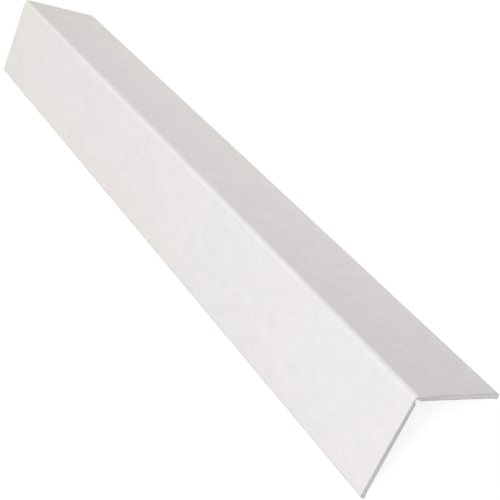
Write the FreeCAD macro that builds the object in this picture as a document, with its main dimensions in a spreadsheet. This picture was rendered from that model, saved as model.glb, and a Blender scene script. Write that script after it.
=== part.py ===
"""Corner guard moulding: one extruded angle of white rigid vinyl that covers an outside wall corner.

The guard stands on the lips of its two free edges, with its rounded nose up and its length along Y.
The origin lies on the floor, under the nose, halfway along the length. All sizes are in millimetres.
"""

import FreeCAD
import Part
import math
import os
import Sketcher

OUTPUT_FOLDER = "parts"
STATES_THAT_FAIL = {"Invalid", "Error"}

# Driving dimensions: alias, value in millimetres, and what it is.
DRIVING_SIZES = [
    ("piece_length", 304.8, "length of the cut piece"),
    ("leg_width", 38.1, "width of each leg, from the sharp outer corner to the tip of the free edge"),
    ("wall_thickness", 1.98, "thickness of both legs"),
    ("nose_radius", 1.8, "outside radius of the corner"),
    ("web_thickness", 1.15, "material left at the corner between the nose and the relief groove"),
    ("lip_height", 0.4, "height of the lip along each free edge above the inner face"),
    ("lip_width", 2.4, "width of the lip, from the tip to where it runs out on the inner face"),
    ("lip_radius", 0.5, "rounding of the lip"),
]

# The relief groove is centred on the sharp inside corner and stops one web short of the nose.
RELIEF_RADIUS = "Sizes.wall_thickness * sqrt(2) - (sqrt(2) - 1) * Sizes.nose_radius - Sizes.web_thickness"
# The outer rounding of a free edge meets the lip's rounding at the tip, so it takes the rest of the thickness.
EDGE_RADIUS = "Sizes.wall_thickness + Sizes.lip_height - Sizes.lip_radius"
# Height of the sharp outer corner when the guard stands on the roundings of its two lips.
CORNER_HEIGHT = (
    "(Sizes.leg_width + Sizes.wall_thickness + Sizes.lip_height) / sqrt(2) - (sqrt(2) - 1) * Sizes.lip_radius"
)


def make_sheet(doc):
    """Spreadsheet of the driving dimensions, one aliased cell for each."""
    sheet = doc.addObject("Spreadsheet::Sheet", "Sizes")
    for row, (alias, value, meaning) in enumerate(DRIVING_SIZES, start=1):
        sheet.set(f"A{row}", meaning)
        sheet.set(f"B{row}", str(value))
        sheet.setAlias(f"B{row}", alias)
    doc.recompute()
    return sheet


def origin_plane(body, role):
    """One of the body's own origin planes."""
    return next(feature for feature in body.Origin.OriginFeatures if feature.Role == role)


def line(first, last):
    """Straight stretch of an outline between two (x, y) points."""
    return Part.LineSegment(FreeCAD.Vector(*first, 0), FreeCAD.Vector(*last, 0))


def arc(centre, radius, first_degrees, last_degrees):
    """Anticlockwise arc about an (x, y) point, from the first to the last angle."""
    circle = Part.Circle(FreeCAD.Vector(*centre, 0), FreeCAD.Vector(0, 0, 1), radius)
    return Part.ArcOfCircle(circle, math.radians(first_degrees), math.radians(last_degrees))


def section_outline(sheet):
    """Names and first shapes of the outline's stretches, anticlockwise from the nose.

    The sharp outer corner is at the sketch's origin. Leg 1 lies along X and leg 2 along Y.
    """
    leg = sheet.leg_width
    wall = sheet.wall_thickness
    nose = sheet.nose_radius
    relief = sheet.evalExpression(RELIEF_RADIUS)
    edge = sheet.evalExpression(EDGE_RADIUS)
    lip = sheet.lip_radius
    lip_top = wall + sheet.lip_height
    lip_foot = leg - sheet.lip_width
    return [
        ("nose", arc((nose, nose), nose, 180, 270)),
        ("outer_face_1", line((nose, 0), (leg - edge, 0))),
        ("outer_edge_1", arc((leg - edge, edge), edge, 270, 360)),
        ("lip_1", arc((leg - lip, edge), lip, 0, 90)),
        ("ramp_1", line((leg - lip, lip_top), (lip_foot, wall))),
        ("inner_face_1", line((lip_foot, wall), (wall + relief, wall))),
        ("relief", arc((wall, wall), relief, 90, 360)),
        ("inner_face_2", line((wall, wall + relief), (wall, lip_foot))),
        ("ramp_2", line((wall, lip_foot), (lip_top, leg - lip))),
        ("lip_2", arc((edge, leg - lip), lip, 0, 90)),
        ("outer_edge_2", arc((edge, leg - edge), edge, 90, 180)),
        ("outer_face_2", line((0, leg - edge), (0, nose))),
    ]


def draw_section(sketch, sheet):
    """Closed outline of the angle, held by constraints that take their sizes from the spreadsheet."""
    index = {name: sketch.addGeometry(shape) for name, shape in section_outline(sheet)}
    first, last, centre = 1, 2, 3
    origin = (-1, 1)
    x_axis, y_axis = -1, -2

    def add(kind, *values):
        return sketch.addConstraint(Sketcher.Constraint(kind, *values))

    def drive(expression, kind, *values):
        constraint = add(kind, *values, sheet.evalExpression(expression))
        sketch.setExpression(f"Constraints[{constraint}]", expression)

    smooth_joins = [
        ("nose", last, "outer_face_1", first),
        ("outer_face_1", last, "outer_edge_1", first),
        ("outer_edge_1", last, "lip_1", first),
        ("lip_1", last, "ramp_1", first),
        ("ramp_2", last, "lip_2", first),
        ("lip_2", last, "outer_edge_2", first),
        ("outer_edge_2", last, "outer_face_2", first),
        ("outer_face_2", last, "nose", first),
    ]
    corner_joins = [
        ("ramp_1", last, "inner_face_1", first),
        ("inner_face_1", last, "relief", last),
        ("relief", first, "inner_face_2", first),
        ("inner_face_2", last, "ramp_2", first),
    ]
    for a, a_end, b, b_end in smooth_joins:
        add("Tangent", index[a], a_end, index[b], b_end)
    for a, a_end, b, b_end in corner_joins:
        add("Coincident", index[a], a_end, index[b], b_end)

    # Each leg: its number, its two directions, and which ends lie at its tip and at its lip's foot.
    legs = [
        (1, "Horizontal", "DistanceX", "DistanceY", last, first),
        (2, "Vertical", "DistanceY", "DistanceX", first, last),
    ]
    for number, straight, along, deep, tip_end, foot_end in legs:
        edge = index[f"outer_edge_{number}"]
        inner_face = index[f"inner_face_{number}"]
        add(straight, index[f"outer_face_{number}"])
        add(straight, inner_face)
        add(straight, edge, centre, edge, tip_end)
        drive("Sizes.leg_width", along, *origin, edge, tip_end)
        drive("Sizes.wall_thickness", deep, *origin, inner_face, foot_end)
        drive("Sizes.lip_width", along, inner_face, foot_end, edge, tip_end)
        drive(EDGE_RADIUS, "Radius", edge)
        drive("Sizes.lip_radius", "Radius", index[f"lip_{number}"])

    # The outer faces lie on the sketch's axes, and the groove's centre is the sharp inside corner.
    add("PointOnObject", index["outer_face_1"], first, x_axis)
    add("PointOnObject", index["outer_face_2"], last, y_axis)
    add("Horizontal", index["inner_face_1"], last, index["relief"], centre)
    add("Vertical", index["inner_face_2"], first, index["relief"], centre)
    drive("Sizes.nose_radius", "Radius", index["nose"])
    drive(RELIEF_RADIUS, "Radius", index["relief"])


def make_corner_guard(doc, sheet):
    """The guard itself: the section pushed through its whole length, then stood on its two lips."""
    body = doc.addObject("PartDesign::Body", "CornerGuard")
    body.Label = "corner_guard"

    section = body.newObject("Sketcher::SketchObject", "Section")
    section.AttachmentSupport = [(origin_plane(body, "XZ_Plane"), "")]
    section.MapMode = "FlatFace"
    draw_section(section, sheet)
    doc.recompute()

    extrusion = body.newObject("PartDesign::Pad", "Extrusion")
    extrusion.Profile = section
    extrusion.Midplane = True
    extrusion.setExpression("Length", "Sizes.piece_length")
    body.Tip = extrusion

    # Turned about its length so that the nose points up and each leg slopes down at 45 degrees.
    nose_up = FreeCAD.Rotation(FreeCAD.Vector(0, 1, 0), 135)
    body.Placement = FreeCAD.Placement(FreeCAD.Vector(0, 0, 0), nose_up)
    body.setExpression("Placement.Base.z", CORNER_HEIGHT)
    doc.recompute()
    return body


def check(doc, bodies):
    """Stops with a message if any object failed to compute or any body is not one valid solid."""
    for item in doc.Objects:
        if STATES_THAT_FAIL.intersection(item.State):
            raise RuntimeError(f"{item.Name} failed: {item.State}")
    for body in bodies:
        if body.Shape.isNull() or not body.Shape.isValid() or len(body.Shape.Solids) != 1:
            raise RuntimeError(f"{body.Label} is not one valid solid")


def main():
    doc = FreeCAD.newDocument("corner_guard_moulding")
    sheet = make_sheet(doc)
    bodies = [make_corner_guard(doc, sheet)]
    check(doc, bodies)
    os.makedirs(OUTPUT_FOLDER, exist_ok=True)
    for body in bodies:
        body.Shape.exportStep(os.path.join(OUTPUT_FOLDER, f"{body.Label}.step"))
        box = body.Shape.BoundBox
        print(body.Label, "volume", round(body.Shape.Volume, 3), "lowest", round(box.ZMin, 6))
        print("  size", round(box.XLength, 4), round(box.YLength, 4), round(box.ZLength, 4))


main()
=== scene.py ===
"""Corner guard moulding in white vinyl, standing on its two lips on a pale studio floor.

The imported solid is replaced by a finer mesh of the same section, with its sawn ends slightly broken.
All lengths are in metres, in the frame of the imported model: +Y along the guard and +Z up through its nose.
The near end is the one at -Y, and the right leg is the one at +X.
"""

import math

import bmesh
import bpy
from mathutils import Matrix, Vector


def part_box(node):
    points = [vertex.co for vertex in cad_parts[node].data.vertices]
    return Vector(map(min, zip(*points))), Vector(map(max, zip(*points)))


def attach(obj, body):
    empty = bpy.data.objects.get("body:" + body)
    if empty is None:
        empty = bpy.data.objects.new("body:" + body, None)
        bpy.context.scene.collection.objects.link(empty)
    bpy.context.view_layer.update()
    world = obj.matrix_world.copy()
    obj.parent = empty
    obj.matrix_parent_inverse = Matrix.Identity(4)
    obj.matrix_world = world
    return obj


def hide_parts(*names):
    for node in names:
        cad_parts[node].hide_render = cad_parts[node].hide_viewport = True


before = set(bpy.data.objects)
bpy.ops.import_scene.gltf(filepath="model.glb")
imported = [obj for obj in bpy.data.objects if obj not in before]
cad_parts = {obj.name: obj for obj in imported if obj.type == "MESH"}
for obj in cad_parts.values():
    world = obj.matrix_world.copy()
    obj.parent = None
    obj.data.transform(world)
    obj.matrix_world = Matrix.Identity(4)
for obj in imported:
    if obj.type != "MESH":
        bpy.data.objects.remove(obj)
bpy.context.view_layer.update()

MM = 0.001
ROOT_2 = math.sqrt(2)

# The section, as in the solid
LEG_WIDTH = 38.1 * MM
WALL = 1.98 * MM
NOSE_RADIUS = 1.8 * MM
WEB = 1.15 * MM
LIP_HEIGHT = 0.4 * MM
LIP_WIDTH = 2.4 * MM
LIP_RADIUS = 0.5 * MM
RELIEF_RADIUS = ROOT_2 * WALL - (ROOT_2 - 1) * NOSE_RADIUS - WEB
EDGE_RADIUS = WALL + LIP_HEIGHT - LIP_RADIUS
CORNER_HEIGHT = (LEG_WIDTH + WALL + LIP_HEIGHT) / ROOT_2 - (ROOT_2 - 1) * LIP_RADIUS
HALF_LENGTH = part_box("corner_guard")[1].y

# How finely the section and the length are divided
NOSE_STEPS = 14
EDGE_STEPS = 16
LIP_STEPS = 8
RELIEF_STEPS = 22
FACE_STEPS = 12
RAMP_STEPS = 3
LENGTH_STEPS = 80
SHARP_ANGLE = math.radians(50)

# Edge break of the sawn ends: (distance from the end, inset of the section)
SAWN_BREAK = [(0.0, 0.14 * MM), (0.04 * MM, 0.04 * MM), (0.14 * MM, 0.0), (0.4 * MM, 0.0)]
# Inset at which the dark rim of a sawn end has faded out, and the vertex layer that marks the rim
SAWN_RIM = 0.44 * MM
RIM_LAYER = "sawn_rim"

# Vinyl
VINYL_IOR = 1.53
NEUTRAL_WHITE = (0.8375, 0.8170, 0.8050, 1.0)
PINKISH_WHITE = (0.8505, 0.8130, 0.8040, 1.0)
IVORY_WHITE = (0.8480, 0.8180, 0.7760, 1.0)
LEFT_SAWN_GREY = (0.68, 0.66, 0.64, 1.0)
RIGHT_SAWN_GREY = (0.78, 0.755, 0.735, 1.0)
RIM_GREY = (0.52, 0.50, 0.48, 1.0)
MARK_GREY = (0.62, 0.58, 0.56, 1.0)

# Noise patterns: (scale in patches to a metre, detail, roughness of the noise)
TINT_NOISE = (12.0, 3.0, 0.55)
PATCH_NOISE = (190.0, 4.0, 0.6)
GRAIN_NOISE = (850.0, 3.0, 0.6)
PEEL_NOISE = (420.0, 2.0, 0.5)
DIE_LINE_NOISE = (1500.0, 3.0, 0.5)
SAW_MARK_NOISE = (3200.0, 4.0, 0.5)
NOISE_MEAN = 0.5
TINT_SEED = 10.0

# Die lines are noise drawn out along the length, and saw marks are noise drawn out across the end
DIE_LINE_STRETCH = (1.0, 0.006, 1.0)
SAW_MARK_STRETCH = (0.1, 1.0, 1.0)

# Each pair of places from here on is where a look starts to show and where it shows in full.
# First where the left leg gives way to the right one, and the long faces to the sawn ends, by their normal
RIGHT_LEG_ACROSS = (-4.0 * MM, 12.0 * MM)
SAWN_FACING = (0.6, 0.95)

# Drift of the white from neutral to pinkish: pinker towards the far end and on the right leg
PINKER_PER_METRE = 1.2
PINKER_ACROSS = (-2.0 * MM, 4.0 * MM)
PINKER_ON_RIGHT = 0.28
PINK_DRIFT = (0.30, 0.56)

# Ivory at the far end, and along the free edges of the far half with a share of (left leg, right leg)
IVORY_END_ALONG = (110.0 * MM, 156.0 * MM)
IVORY_EDGE_ALONG = (-80.0 * MM, 70.0 * MM)
IVORY_EDGE_HEIGHT = (14.0 * MM, 3.0 * MM)
IVORY_BY_LEG = (0.4, 1.0)

# Mottling of the white, over some millimetres and in a fine grain: its strength is (left leg, right leg)
MEAN_SHADE = 0.99
PATCH_CONTRAST = 0.13
GRAIN_CONTRAST = 0.09
CONTRAST_BY_LEG = (1.0, 1.35)

# Painted highlight: the nose is made lighter in colour. Painted shade: the near part of the left free edge
# is made darker in colour
NOSE_HIGHLIGHT_HEIGHT = (26.9 * MM, 27.3 * MM)
NOSE_HIGHLIGHT_LIGHTER = 0.012
EDGE_SHADE_HEIGHT = (15.0 * MM, 0.0)
EDGE_SHADE_ACROSS = (0.0, -4.0 * MM)
EDGE_SHADE_ALONG = (90.0 * MM, 10.0 * MM)
EDGE_SHADE_DARKER = 0.022

# Small dark mark on the right leg's outer face, near the sawn end
MARK_ON_LEG = 26.4 * MM
MARK_FROM_END = 14.5 * MM
MARK_RADIUS = 0.55 * MM
MARK_CORE_RADIUS = 0.3 * MARK_RADIUS

# Sawn ends: striped by the saw, darker towards the nose and lighter at the left tip, with a dark rim
SAWN_SHADE = 0.84
SAW_MARK_CONTRAST = 0.36
SAWN_NOSE_HEIGHT = (11.0 * MM, 22.0 * MM)
SAWN_NOSE_DARKER = 0.07
SAWN_TIP_ACROSS = (-15.0 * MM, -24.0 * MM)
SAWN_TIP_LIGHTER = 0.05
RIM_STRENGTH = 0.65

# Painted highlight on the outer edge of a sawn end, in the colour of the long faces and most at the nose:
# its share is (left leg, right leg)
END_HIGHLIGHT_REACH = 22.0 * MM
END_HIGHLIGHT_DEPTH = 0.85 * MM
END_HIGHLIGHT_BY_LEG = (1.0, 0.3)
END_HIGHLIGHT_SOFTNESS = 0.3 * MM

# Surface: satin faces with the die lines in them, rougher sawn ends
SATIN_ROUGHNESS = 0.40
DIE_LINE_ROUGHNESS = 0.12
PATCH_ROUGHNESS = 0.08
SAWN_ROUGHNESS = 0.25
BUMP_STRENGTH = 0.5
BUMP_HEIGHT = 0.02 * MM
DIE_LINE_WEIGHT = 0.35
SAW_MARK_WEIGHT = 3.0

# Floor: a glow makes it white where it is seen outside the shadow, and it fades to plain white farther out
FLOOR_HALF_WIDTH = 4.0
FLOOR_BOUNCE = (0.8, 0.8, 0.8, 1.0)
FLOOR_SEEN = (0.22, 0.22, 0.22, 1.0)
FLOOR_GLOW = 0.84
FLOOR_FADE = (0.19, 0.40)

# Backdrop as it is seen, and the soft light that comes from all round
WHITE = (1.0, 1.0, 1.0, 1.0)
WHITE_STRENGTH = 1.0
WORLD_LIGHT = 0.12

# Area lights: (name, place, aim, width, height, watts)
SOFTBOXES = [
    ("key", (-0.36, -0.50, 0.82), (0.0, -0.05, 0.0), 0.5, 0.5, 7.4),
    ("back", (-0.30, 0.80, 0.75), (0.0, 0.0, 0.0), 0.5, 0.5, 4.0),
    ("low_card", (0.16, 0.06, 0.05), (0.0, 0.06, 0.012), 0.5, 0.06, 0.13),
]

# Camera at the photograph's viewpoint: lens and sensor in millimetres
CAMERA_AT = Vector((-0.06583, -0.30042, 0.26941))
CAMERA_AIM = Vector((0.0, -0.04903, 0.00661))
CAMERA_ROLL = math.radians(-23.482)
CAMERA_LENS = 73.358
SENSOR_WIDTH = 36.0
NEAREST_SEEN = 0.01
FARTHEST_SEEN = 50.0


def arc_points(centre, radius, first_degrees, last_degrees, steps):
    """Points along an arc of the section, both ends included."""
    points = []
    for step in range(steps + 1):
        angle = math.radians(first_degrees + (last_degrees - first_degrees) * step / steps)
        points.append((centre[0] + radius * math.cos(angle), centre[1] + radius * math.sin(angle)))
    return points


def run_points(first, last, steps):
    """Points strictly between the ends of a straight stretch, closer together towards both ends."""
    points = []
    for step in range(1, steps):
        share = 0.5 - 0.5 * math.cos(math.pi * step / steps)
        points.append((first[0] + (last[0] - first[0]) * share, first[1] + (last[1] - first[1]) * share))
    return points


def leg_outline(inset):
    """Half of the section, moved into the material by the inset: from the nose along one leg and back."""
    lip_centre = (LEG_WIDTH - LIP_RADIUS, EDGE_RADIUS)
    foot = (LEG_WIDTH - LIP_WIDTH, WALL)
    reach = math.dist(lip_centre, foot)
    ramp_slope = math.atan2(lip_centre[1] - foot[1], lip_centre[0] - foot[0])
    ramp_slope += math.asin(LIP_RADIUS / reach)
    foot = (foot[0] + inset * math.tan(ramp_slope / 2), WALL - inset)
    mouth = math.asin(inset / (RELIEF_RADIUS + inset))

    nose = arc_points((NOSE_RADIUS, NOSE_RADIUS), NOSE_RADIUS - inset, 225, 270, NOSE_STEPS)
    edge = arc_points((LEG_WIDTH - EDGE_RADIUS, EDGE_RADIUS), EDGE_RADIUS - inset, 270, 360, EDGE_STEPS)
    lip = arc_points(lip_centre, LIP_RADIUS - inset, 0, 90 + math.degrees(ramp_slope), LIP_STEPS)
    relief = arc_points((WALL, WALL), RELIEF_RADIUS + inset, 360 - math.degrees(mouth), 225, RELIEF_STEPS)
    return (
        nose
        + run_points(nose[-1], edge[0], FACE_STEPS)
        + edge
        + lip[1:]
        + run_points(lip[-1], foot, RAMP_STEPS)
        + [foot]
        + run_points(foot, relief[0], FACE_STEPS)
        + relief
    )


def section_outline(inset):
    """Closed section, anticlockwise: one leg along each axis, with the sharp outer corner at the origin."""
    leg = leg_outline(inset)
    mirrored = [(y, x) for x, y in reversed(leg)]
    return leg + mirrored[1:-1]


def place(x, y, along):
    """Point of the section in the frame of the model: nose up, legs sloping down to both sides."""
    return Vector(((x - y) / ROOT_2, along, CORNER_HEIGHT - (x + y) / ROOT_2))


def mark_place():
    """Where the dark mark is in the frame of the model."""
    return place(MARK_ON_LEG, 0.0, MARK_FROM_END - HALF_LENGTH)


def length_stations():
    """(place along the length, inset of the section) from one sawn end to the other."""
    near = [(-HALF_LENGTH + distance, inset) for distance, inset in SAWN_BREAK]
    first = near[-1][0]
    middle = [(first + (-2 * first) * step / LENGTH_STEPS, 0.0) for step in range(1, LENGTH_STEPS)]
    far = [(-along, inset) for along, inset in reversed(near)]
    return near + middle + far


def add_ring(shape, along, inset):
    """Vertices of the section at one place along the length."""
    return [shape.verts.new(place(x, y, along)) for x, y in section_outline(inset)]


def join_rings(shape, first, second):
    """Band of faces between two rings of vertices."""
    for i in range(len(first)):
        shape.faces.new((first[i - 1], first[i], second[i], second[i - 1]))


def build_guard():
    """Mesh of the guard: the section drawn along the length, closed by two flat sawn faces."""
    mesh = bpy.data.meshes.new("corner_guard_dressed")
    shape = bmesh.new()
    rim_mark = shape.verts.layers.float.new(RIM_LAYER)

    rings = [add_ring(shape, along, inset) for along, inset in length_stations()]
    for ring, following in zip(rings, rings[1:]):
        join_rings(shape, ring, following)
    for ring, along in ((rings[0], -HALF_LENGTH), (rings[-1], HALF_LENGTH)):
        rim = add_ring(shape, along, SAWN_RIM)
        join_rings(shape, ring, rim)
        shape.faces.new(rim)
        for vertex in ring:
            vertex[rim_mark] = 1.0

    bmesh.ops.recalc_face_normals(shape, faces=shape.faces)
    bmesh.ops.triangulate(shape, faces=[face for face in shape.faces if len(face.verts) > 4])
    for face in shape.faces:
        face.smooth = True
    shape.to_mesh(mesh)
    shape.free()
    mesh.set_sharp_from_angle(angle=SHARP_ANGLE)

    guard = bpy.data.objects.new("corner_guard_dressed", mesh)
    bpy.context.scene.collection.objects.link(guard)
    return guard


class Nodes:
    """Short way of adding and joining the nodes of one material or world."""

    def __init__(self, tree):
        self.tree = tree
        tree.nodes.clear()

    def add(self, kind, inputs=None, **settings):
        """New node, with its settings made before its inputs are set or joined."""
        node = self.tree.nodes.new(kind)
        for name, value in settings.items():
            setattr(node, name, value)
        for name, value in (inputs or {}).items():
            self.set(node.inputs[name], value)
        return node

    def set(self, socket, value):
        """Join a socket to another node's output, or give it a constant."""
        if isinstance(value, bpy.types.NodeSocket):
            self.tree.links.new(value, socket)
        else:
            socket.default_value = value

    def math(self, operation, first, second=None, third=None):
        """Number worked out from one, two or three others."""
        node = self.add("ShaderNodeMath", operation=operation)
        for socket, value in zip(node.inputs, (first, second, third)):
            if value is not None:
                self.set(socket, value)
        return node.outputs[0]

    def blend(self, factor, first, second, data_type="RGBA"):
        """Colour between two colours, or number between two numbers where the type is FLOAT."""
        node = self.add("ShaderNodeMix", {"Factor": factor}, data_type=data_type)
        self.set(node.inputs["A"], first)
        self.set(node.inputs["B"], second)
        return node.outputs["Result"]

    def ramp(self, value, start, full):
        """0 up to the start, 1 from the full value on and smooth between: either may be the higher one."""
        inputs = {"Value": value, "From Min": start, "From Max": full}
        return self.add("ShaderNodeMapRange", inputs, interpolation_type="SMOOTHSTEP").outputs["Result"]

    def noise(self, where, scale, detail, roughness):
        """Even noise around NOISE_MEAN."""
        inputs = {"Vector": where, "Scale": scale, "Detail": detail, "Roughness": roughness}
        return self.add("ShaderNodeTexNoise", inputs).outputs["Fac"]

    def seeded_noise(self, seed, where, scale, detail, roughness):
        """Noise whose patches move when the seed changes."""
        inputs = {"Vector": where, "W": seed, "Scale": scale, "Detail": detail, "Roughness": roughness}
        return self.add("ShaderNodeTexNoise", inputs, noise_dimensions="4D").outputs["Fac"]

    def stretched(self, where, scale):
        """Place with each of its coordinates scaled."""
        return self.add("ShaderNodeMapping", {"Vector": where, "Scale": scale}).outputs[0]

    def shaded(self, colour, shade):
        """Colour times a number."""
        node = self.add("ShaderNodeVectorMath", {0: colour, "Scale": shade}, operation="SCALE")
        return node.outputs["Vector"]


class Spot:
    """Where the shaded point is on the guard."""

    def __init__(self, nodes):
        self.nodes = nodes
        where = nodes.add("ShaderNodeTexCoord")
        self.place = where.outputs["Object"]
        parts = nodes.add("ShaderNodeSeparateXYZ", {"Vector": self.place})
        self.across = parts.outputs["X"]
        self.along = parts.outputs["Y"]
        self.height = parts.outputs["Z"]
        facing = nodes.add("ShaderNodeSeparateXYZ", {"Vector": where.outputs["Normal"]})
        self.sawn = nodes.ramp(nodes.math("ABSOLUTE", facing.outputs["Y"]), *SAWN_FACING)
        self.right_leg = nodes.ramp(self.across, *RIGHT_LEG_ACROSS)

    def by_leg(self, left, right):
        """Number with one value on the left leg and another on the right."""
        return self.nodes.math("MULTIPLY_ADD", self.right_leg, right - left, left)


def vinyl_tint(nodes, spot):
    """Pinkish white with neutral patches near one end, turning ivory at the other."""
    patches = nodes.seeded_noise(TINT_SEED, spot.place, *TINT_NOISE)
    drift = nodes.math("MULTIPLY_ADD", spot.along, PINKER_PER_METRE, patches)
    drift = nodes.math("MULTIPLY_ADD", nodes.ramp(spot.across, *PINKER_ACROSS), PINKER_ON_RIGHT, drift)
    tint = nodes.blend(nodes.ramp(drift, *PINK_DRIFT), NEUTRAL_WHITE, PINKISH_WHITE)

    low = nodes.ramp(spot.height, *IVORY_EDGE_HEIGHT)
    free_edge = nodes.math("MULTIPLY", low, nodes.ramp(spot.along, *IVORY_EDGE_ALONG))
    free_edge = nodes.math("MULTIPLY", free_edge, spot.by_leg(*IVORY_BY_LEG))
    ivory = nodes.math("MAXIMUM", free_edge, nodes.ramp(spot.along, *IVORY_END_ALONG))
    return nodes.blend(ivory, tint, IVORY_WHITE)


def vinyl_shade(nodes, spot, patch):
    """How light the white is at the spot: mottled, with a painted highlight along the nose and painted shade
    towards the near part of the left free edge.
    """
    patch = nodes.math("SUBTRACT", patch, NOISE_MEAN)
    grain = nodes.math("SUBTRACT", nodes.noise(spot.place, *GRAIN_NOISE), NOISE_MEAN)
    mottling = nodes.math("MULTIPLY", patch, PATCH_CONTRAST)
    mottling = nodes.math("MULTIPLY_ADD", grain, GRAIN_CONTRAST, mottling)
    shade = nodes.math("MULTIPLY_ADD", mottling, spot.by_leg(*CONTRAST_BY_LEG), MEAN_SHADE)
    # Painted highlight along the nose: the white is made lighter there
    shade = nodes.math("MULTIPLY_ADD", nodes.ramp(spot.height, *NOSE_HIGHLIGHT_HEIGHT), NOSE_HIGHLIGHT_LIGHTER, shade)

    # Painted shade: darker towards the near part of the left free edge
    low = nodes.ramp(spot.height, *EDGE_SHADE_HEIGHT)
    painted_edge_shade = nodes.math("MULTIPLY", low, nodes.ramp(spot.across, *EDGE_SHADE_ACROSS))
    painted_edge_shade = nodes.math("MULTIPLY", painted_edge_shade, nodes.ramp(spot.along, *EDGE_SHADE_ALONG))
    return nodes.math("MULTIPLY_ADD", painted_edge_shade, -EDGE_SHADE_DARKER, shade)


def with_dark_mark(nodes, spot, tone):
    """The colour of the long faces with the small dark mark on it."""
    distance = nodes.add("ShaderNodeVectorMath", {0: spot.place, 1: mark_place()}, operation="DISTANCE")
    clear = nodes.ramp(distance.outputs["Value"], MARK_CORE_RADIUS, MARK_RADIUS)
    return nodes.blend(clear, MARK_GREY, tone)


def sawn_tone(nodes, spot, saw_marks):
    """Colour of a sawn end inside its rim."""
    grey = nodes.blend(spot.right_leg, LEFT_SAWN_GREY, RIGHT_SAWN_GREY)
    shade = nodes.math("MULTIPLY_ADD", saw_marks, SAW_MARK_CONTRAST, SAWN_SHADE)
    shade = nodes.math("MULTIPLY_ADD", nodes.ramp(spot.height, *SAWN_NOSE_HEIGHT), -SAWN_NOSE_DARKER, shade)
    shade = nodes.math("MULTIPLY_ADD", nodes.ramp(spot.across, *SAWN_TIP_ACROSS), SAWN_TIP_LIGHTER, shade)
    return nodes.shaded(grey, shade)


def end_highlight_edge(nodes, spot):
    """1 where the outer edge of a sawn end takes a painted highlight in the long faces' colour, and on the
    outer faces beside it.
    """
    drop = nodes.math("SUBTRACT", CORNER_HEIGHT, spot.height)
    below_left_face = nodes.math("DIVIDE", nodes.math("ADD", drop, spot.across), ROOT_2)
    below_right_face = nodes.math("DIVIDE", nodes.math("SUBTRACT", drop, spot.across), ROOT_2)
    depth = nodes.math("MINIMUM", below_left_face, below_right_face)
    from_nose = nodes.math("MAXIMUM", below_left_face, below_right_face)
    painted_depth = nodes.math("MULTIPLY", nodes.ramp(from_nose, END_HIGHLIGHT_REACH, NOSE_RADIUS), END_HIGHLIGHT_DEPTH)
    painted_depth = nodes.math("MULTIPLY", painted_depth, spot.by_leg(*END_HIGHLIGHT_BY_LEG))
    return nodes.ramp(nodes.math("SUBTRACT", painted_depth, depth), 0.0, END_HIGHLIGHT_SOFTNESS)


def with_sawn_ends(nodes, spot, tone, saw_marks):
    """Colour of the whole guard, from that of its long faces."""
    rim = nodes.add("ShaderNodeAttribute", attribute_name=RIM_LAYER)
    dark_rim = nodes.math("MULTIPLY", nodes.ramp(rim.outputs["Fac"], 0.0, 1.0), RIM_STRENGTH)
    end_tone = nodes.blend(spot.sawn, tone, sawn_tone(nodes, spot, saw_marks))
    end_tone = nodes.blend(dark_rim, end_tone, RIM_GREY)
    # Painted highlight: the long faces' colour laid over the outer edge of a sawn end beside the nose
    return nodes.blend(end_highlight_edge(nodes, spot), end_tone, tone)


def vinyl_roughness(nodes, spot, patch, die_lines):
    """Satin faces and rougher ends."""
    satin = nodes.math("MULTIPLY_ADD", die_lines, DIE_LINE_ROUGHNESS, SATIN_ROUGHNESS)
    satin = nodes.math("MULTIPLY_ADD", patch, PATCH_ROUGHNESS, satin)
    return nodes.math("MULTIPLY_ADD", spot.sawn, SAWN_ROUGHNESS, satin)


def vinyl_bump(nodes, spot, die_lines, saw_marks):
    """Fine relief: die lines and a slight peel on the faces, saw marks on the ends."""
    peel = nodes.noise(spot.place, *PEEL_NOISE)
    face_height = nodes.math("MULTIPLY_ADD", die_lines, DIE_LINE_WEIGHT, peel)
    end_height = nodes.math("MULTIPLY", saw_marks, SAW_MARK_WEIGHT)
    height = nodes.blend(spot.sawn, face_height, end_height, "FLOAT")
    inputs = {"Height": height, "Strength": BUMP_STRENGTH, "Distance": BUMP_HEIGHT}
    return nodes.add("ShaderNodeBump", inputs).outputs[0]


def white_vinyl():
    """Satin extruded vinyl: warm white, faintly mottled, with die lines and rougher sawn ends."""
    material = bpy.data.materials.new("white_vinyl_finish")
    material.use_nodes = True
    nodes = Nodes(material.node_tree)
    spot = Spot(nodes)
    patch = nodes.noise(spot.place, *PATCH_NOISE)
    die_lines = nodes.noise(nodes.stretched(spot.place, DIE_LINE_STRETCH), *DIE_LINE_NOISE)
    saw_marks = nodes.noise(nodes.stretched(spot.place, SAW_MARK_STRETCH), *SAW_MARK_NOISE)

    tone = nodes.shaded(vinyl_tint(nodes, spot), vinyl_shade(nodes, spot, patch))
    tone = with_dark_mark(nodes, spot, tone)
    vinyl = nodes.add(
        "ShaderNodeBsdfPrincipled",
        {
            "Base Color": with_sawn_ends(nodes, spot, tone, saw_marks),
            "Roughness": vinyl_roughness(nodes, spot, patch, die_lines),
            "IOR": VINYL_IOR,
            "Normal": vinyl_bump(nodes, spot, die_lines, saw_marks),
        },
    )
    nodes.add("ShaderNodeOutputMaterial", {"Surface": vinyl.outputs[0]})
    return material


def seen_directly(nodes):
    """1 for what the camera, a reflection or a transmission sees, 0 for light that bounces."""
    path = nodes.add("ShaderNodeLightPath")
    seen = nodes.math("MAXIMUM", path.outputs["Is Camera Ray"], path.outputs["Is Glossy Ray"])
    return nodes.math("MAXIMUM", seen, path.outputs["Is Transmission Ray"])


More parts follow.
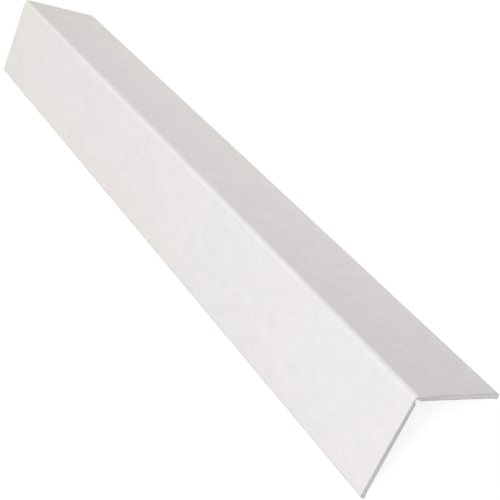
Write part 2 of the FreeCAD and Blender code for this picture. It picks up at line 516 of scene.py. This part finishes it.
def pale_floor():
    """White floor that keeps a soft shadow near the object and runs out to plain white."""
    material = bpy.data.materials.new("pale_floor")
    material.use_nodes = True
    nodes = Nodes(material.node_tree)
    seen = seen_directly(nodes)
    where = nodes.add("ShaderNodeTexCoord")
    distance = nodes.add("ShaderNodeVectorMath", {0: where.outputs["Object"]}, operation="LENGTH")
    far = nodes.ramp(distance.outputs["Value"], *FLOOR_FADE)

    shade = nodes.add("ShaderNodeBsdfDiffuse", {"Color": nodes.blend(seen, FLOOR_BOUNCE, FLOOR_SEEN)})
    glow = nodes.add("ShaderNodeEmission", {"Strength": nodes.math("MULTIPLY", seen, FLOOR_GLOW)})
    near = nodes.add("ShaderNodeAddShader", {0: shade.outputs[0], 1: glow.outputs[0]})
    white = nodes.add("ShaderNodeEmission", {"Color": WHITE, "Strength": WHITE_STRENGTH})
    both = nodes.add(
        "ShaderNodeMixShader",
        {0: nodes.math("MULTIPLY", far, seen), 1: near.outputs[0], 2: white.outputs[0]},
    )
    nodes.add("ShaderNodeOutputMaterial", {"Surface": both.outputs[0]})
    return material


def build_floor():
    """Flat floor that the lips stand on."""
    half = FLOOR_HALF_WIDTH
    mesh = bpy.data.meshes.new("floor")
    corners = [(-half, -half, 0.0), (half, -half, 0.0), (half, half, 0.0), (-half, half, 0.0)]
    mesh.from_pydata(corners, [], [(0, 1, 2, 3)])
    mesh.materials.append(pale_floor())
    floor = bpy.data.objects.new("floor", mesh)
    bpy.context.scene.collection.objects.link(floor)


def build_world():
    """Soft light from all round, and a white backdrop where it is seen."""
    world = bpy.data.worlds.new("studio")
    world.use_nodes = True
    nodes = Nodes(world.node_tree)
    strength = nodes.math("MULTIPLY_ADD", seen_directly(nodes), WHITE_STRENGTH - WORLD_LIGHT, WORLD_LIGHT)
    background = nodes.add("ShaderNodeBackground", {"Color": WHITE, "Strength": strength})
    nodes.add("ShaderNodeOutputWorld", {"Surface": background.outputs[0]})
    bpy.context.scene.world = world


def add_softbox(name, at, aim, width, height, watts):
    """Area light that faces a point and stays out of the picture itself."""
    lamp = bpy.data.lights.new(name, "AREA")
    lamp.shape = "RECTANGLE"
    lamp.size = width
    lamp.size_y = height
    lamp.energy = watts
    light = bpy.data.objects.new(name, lamp)
    bpy.context.scene.collection.objects.link(light)
    light.visible_camera = False
    light.location = at
    light.rotation_mode = "QUATERNION"
    light.rotation_quaternion = (Vector(aim) - Vector(at)).to_track_quat("-Z", "Y")


def build_camera():
    """Camera at the photograph's viewpoint, turned about its own axis as the photograph is."""
    lens = bpy.data.cameras.new("photo_view")
    lens.lens = CAMERA_LENS
    lens.sensor_width = SENSOR_WIDTH
    lens.clip_start = NEAREST_SEEN
    lens.clip_end = FARTHEST_SEEN
    camera = bpy.data.objects.new("photo_view", lens)
    bpy.context.scene.collection.objects.link(camera)
    aimed = (CAMERA_AIM - CAMERA_AT).to_track_quat("-Z", "Y").to_matrix()
    turned = aimed @ Matrix.Rotation(CAMERA_ROLL, 3, "Z")
    camera.matrix_world = Matrix.Translation(CAMERA_AT) @ turned.to_4x4()
    bpy.context.scene.camera = camera


guard = build_guard()
guard.data.materials.append(white_vinyl())
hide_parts("corner_guard")
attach(guard, "root")

build_floor()
build_world()
for softbox in SOFTBOXES:
    add_softbox(*softbox)
build_camera()
bpy.context.scene.view_settings.view_transform = "Standard"
